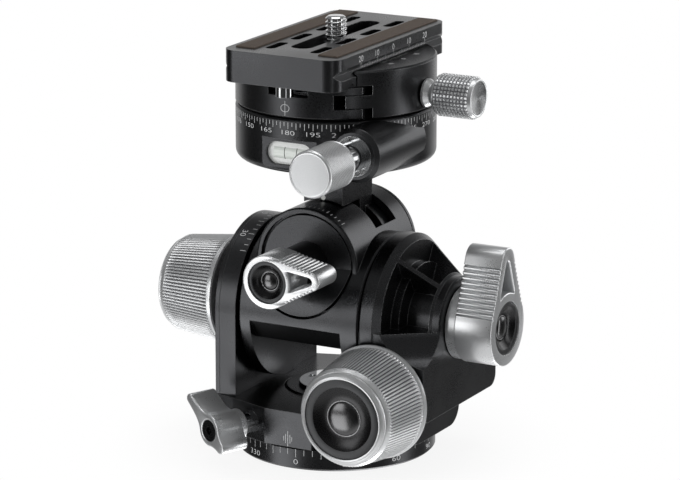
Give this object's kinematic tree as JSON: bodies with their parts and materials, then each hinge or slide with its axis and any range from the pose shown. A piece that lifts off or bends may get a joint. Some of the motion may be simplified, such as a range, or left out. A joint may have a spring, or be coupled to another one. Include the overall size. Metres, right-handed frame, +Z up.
{
  "type": "geared tripod head",
  "caption": "Geared tripod head: pan base, two worm-driven tilt axes with knobs and lock levers, second pan dial, dovetail clamp and quick-release plate.",
  "frame": {"origin": "centre of the underside of the base, on the pan axis", "axes": "+Z up along the pan axis, +X along the front tilt axis towards the side lever, +Y to the back"},
  "size_m": [0.1122, 0.092, 0.131],
  "materials": {
    "black_anodised": "satin black anodised",
    "bronze": "machined",
    "dial_black": "satin black anodised with engraved white scale",
    "dish_black": "turned dark anodised",
    "grip_rubber": "ribbed matt",
    "knurled_silver": "knurled silver anodised",
    "polished_steel": "polished",
    "satin_silver": "satin silver anodised",
    "steel": "machined",
    "vial_clear": "clear",
    "vial_white": "smooth",
    "washer_plastic": "smooth"
  },
  "bodies": {
    "base": {"base_dial": "dial_black", "tripod_socket": "steel", "pan_washer": "washer_plastic", "retainer_lid": "black_anodised", "centre_nut": "polished_steel"},
    "yoke": {"yoke_base": "black_anodised", "left_upright": "dial_black", "gear_housing": "black_anodised", "left_cover": "black_anodised", "cover_screws": "steel", "left_bush": "bronze", "right_bush": "bronze", "worm_bushings": "bronze"},
    "wing_lock": {"wing_knob": "satin_silver", "wing_shaft": "polished_steel", "wing_cap": "dish_black"},
    "cradle": {"cradle": "black_anodised", "left_trunnion": "steel", "worm_cap": "black_anodised", "right_trunnion": "steel", "tilt_wheel": "bronze"},
    "front_tilt_knob": {"knob_b": "knurled_silver", "knob_b_dish": "dish_black", "knob_b_cap": "dish_black", "worm_b": "steel"},
    "side_lever": {"lever_d": "satin_silver", "lever_d_hub": "satin_silver", "lever_d_cap": "dish_black"},
    "side_tilt_knob": {"knob_a": "knurled_silver", "knob_a_dish": "dish_black", "knob_a_cap": "dish_black", "worm_a": "steel"},
    "rotor": {"rotor": "black_anodised", "rear_disc": "black_anodised", "roll_wheel": "bronze", "top_dial": "dial_black", "stem_screws": "steel", "level_backing": "vial_white", "level_vial": "vial_clear", "level_bubble": "vial_white", "lock_ring": "polished_steel", "clamp_lid": "black_anodised", "lid_screws": "steel"},
    "front_lever": {"lever_c": "satin_silver", "lever_c_hub": "black_anodised", "lever_c_cap": "dish_black"},
    "top_lock": {"lock_knob": "knurled_silver", "lock_shaft": "polished_steel"},
    "clamp": {"clamp_body": "black_anodised"},
    "jaw": {"clamp_jaw": "black_anodised", "jaw_pins": "steel"},
    "clamp_knob": {"clamp_knob": "knurled_silver", "clamp_neck": "satin_silver", "clamp_screw": "steel"},
    "plate": {"release_plate": "black_anodised", "grip_strips": "grip_rubber", "stop_screws": "polished_steel"},
    "camera_screw": {"camera_screw": "steel"}
  },
  "joints": [
    {"name": "pan", "type": "hinge", "parent": "base", "child": "yoke", "pos_m": [0, 0, 0.012], "axis": [0, 0, 1], "continuous": true},
    {"name": "pan_lock_turn", "type": "hinge", "parent": "yoke", "child": "wing_lock", "pos_m": [-0.01601, -0.03666, 0.0124], "axis": [-0.4003, -0.9164, 0], "range_deg": [0, 180]},
    {"name": "front_tilt", "type": "hinge", "parent": "yoke", "child": "cradle", "pos_m": [0, 0, 0.0432], "axis": [1, 0, 0], "range_deg": [-25, 25]},
    {"name": "front_tilt_drive", "type": "hinge", "parent": "yoke", "child": "front_tilt_knob", "pos_m": [0.0268, -0.0253, 0.0234], "axis": [0, -1, 0], "range_deg": [-705, 705]},
    {"name": "front_tilt_lock", "type": "hinge", "parent": "cradle", "child": "side_lever", "pos_m": [0.045, 0, 0.0432], "axis": [1, 0, 0], "range_deg": [-60, 60]},
    {"name": "side_tilt", "type": "hinge", "parent": "cradle", "child": "rotor", "pos_m": [0, 0, 0.0597], "axis": [0, 1, 0], "range_deg": [-30, 30]},
    {"name": "side_tilt_drive", "type": "hinge", "parent": "cradle", "child": "side_tilt_knob", "pos_m": [-0.04, 0, 0.0432], "axis": [-1, 0, 0], "range_deg": [-725, 725]},
    {"name": "side_tilt_lock", "type": "hinge", "parent": "rotor", "child": "front_lever", "pos_m": [0, -0.036, 0.0597], "axis": [0, -1, 0], "range_deg": [-10, 60]},
    {"name": "top_lock_turn", "type": "hinge", "parent": "rotor", "child": "top_lock", "pos_m": [0.0225, -0.045, 0.0974], "axis": [0, -1, 0], "range_deg": [0, 360]},
    {"name": "top_pan", "type": "hinge", "parent": "rotor", "child": "clamp", "pos_m": [0, 0, 0.108], "axis": [0, 0, 1], "continuous": true},
    {"name": "jaw_slide", "type": "slide", "parent": "clamp", "child": "jaw", "axis": [1, 0, 0], "range_m": [0, 0.003]},
    {"name": "clamp_knob_turn", "type": "hinge", "parent": "jaw", "child": "clamp_knob", "pos_m": [0.04, 0, 0.1109], "axis": [1, 0, 0], "range_deg": [0, 1080]},
    {"name": "plate_slide", "type": "slide", "parent": "clamp", "child": "plate", "axis": [0, 1, 0], "range_m": [-0.002, 0.002]},
    {"name": "camera_screw_turn", "type": "hinge", "parent": "plate", "child": "camera_screw", "pos_m": [0, 0, 0.12], "axis": [0, 0, 1], "continuous": true}
  ],
  "couplings": [
    {"joint": "front_tilt_drive", "follows": "front_tilt", "ratio": 28},
    {"joint": "side_tilt_drive", "follows": "side_tilt", "ratio": -24},
    {"joint": "clamp_knob_turn", "follows": "jaw_slide", "rad_per_m": 6283.2}
  ]
}
